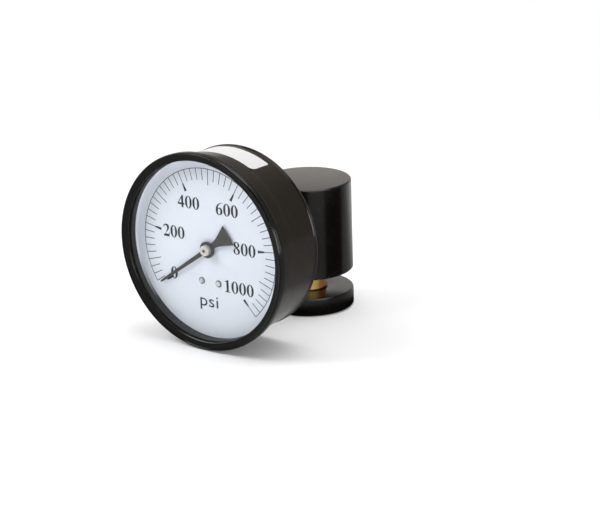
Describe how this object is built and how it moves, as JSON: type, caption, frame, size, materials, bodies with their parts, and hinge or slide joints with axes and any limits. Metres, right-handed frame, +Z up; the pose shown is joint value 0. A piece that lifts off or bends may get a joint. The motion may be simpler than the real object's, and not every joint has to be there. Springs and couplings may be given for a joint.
{
  "type": "hydraulic spring tester",
  "caption": "Black hydraulic cylinder on a short brass ram and round foot, with a dial pressure gauge in its side, for reading the force of a valve spring in a press or vice.",
  "frame": {"origin": "centre of the foot's flat lower face", "axes": "+Z up the common axis of ram and cylinder, -Y out of the cylinder towards the gauge and its dial, +X to the right of someone who reads the dial"},
  "size_m": [0.0958, 0.1077, 0.0973],
  "materials": {
    "black_anodised": "satin",
    "gland_bronze": "satin",
    "wiper_rubber": "matte",
    "seal_rubber": "satin",
    "backup_plastic": "satin",
    "spring_steel": "satin",
    "screw_steel": "satin",
    "ram_brass": "satin",
    "stem_brass": "satin",
    "movement_brass": "satin",
    "tube_bronze": "satin",
    "case_black": "gloss",
    "bezel_black": "gloss",
    "lens_clear": "gloss",
    "gasket_grey": "matte",
    "dial_white": "matte",
    "pointer_black": "satin",
    "hub_silver": "satin"
  },
  "bodies": {
    "cylinder_and_gauge": {"cylinder_body": "black_anodised", "rod_gland": "gland_bronze", "rod_wiper": "wiper_rubber", "retaining_ring": "spring_steel", "gauge_case": "case_black", "bezel_ring": "bezel_black", "lens": "lens_clear", "lens_gasket": "gasket_grey", "dial": "dial_white", "gauge_stem": "stem_brass", "restrictor": "movement_brass", "bourdon_tube": "tube_bronze", "tube_tip": "movement_brass", "movement_back_plate": "movement_brass", "movement_front_plate": "movement_brass", "dial_screws": "hub_silver", "case_screws": "screw_steel", "movement_pillars": "movement_brass", "movement_screws": "screw_steel", "hairspring": "tube_bronze"},
    "ram": {"piston_rod": "ram_brass", "backup_ring": "backup_plastic", "piston_seal": "seal_rubber", "foot_disc": "black_anodised", "set_screw": "screw_steel"},
    "pointer_train": {"pinion": "movement_brass", "pointer": "pointer_black", "pointer_hub": "hub_silver"},
    "sector": {"sector_gear": "movement_brass"},
    "link_bar": {"link": "movement_brass"}
  },
  "joints": [
    {"name": "piston_slide", "type": "slide", "parent": "cylinder_and_gauge", "child": "ram", "axis": [0, 0, 1], "range_m": [0, 0.002], "stiffness_N_per_m": 20000, "springref_m": -0.001},
    {"name": "pointer_turn", "type": "hinge", "parent": "cylinder_and_gauge", "child": "pointer_train", "pos_m": [0, -0.0525, 0.04936], "axis": [0, 1, 0], "range_deg": [0, 263.01]},
    {"name": "sector_turn", "type": "hinge", "parent": "cylinder_and_gauge", "child": "sector", "pos_m": [0, -0.0525, 0.03132], "axis": [0, 1, 0], "range_deg": [-23.92, 0]},
    {"name": "link_slide", "type": "slide", "parent": "cylinder_and_gauge", "child": "link_bar", "axis": [0, 0, 1], "range_m": [0, 0.00416]}
  ],
  "couplings": [
    {"joint": "pointer_turn", "follows": "piston_slide", "rad_per_m": 2295.1},
    {"joint": "sector_turn", "follows": "piston_slide", "rad_per_m": -208.65},
    {"joint": "link_slide", "follows": "piston_slide", "ratio": 2.0791}
  ]
}
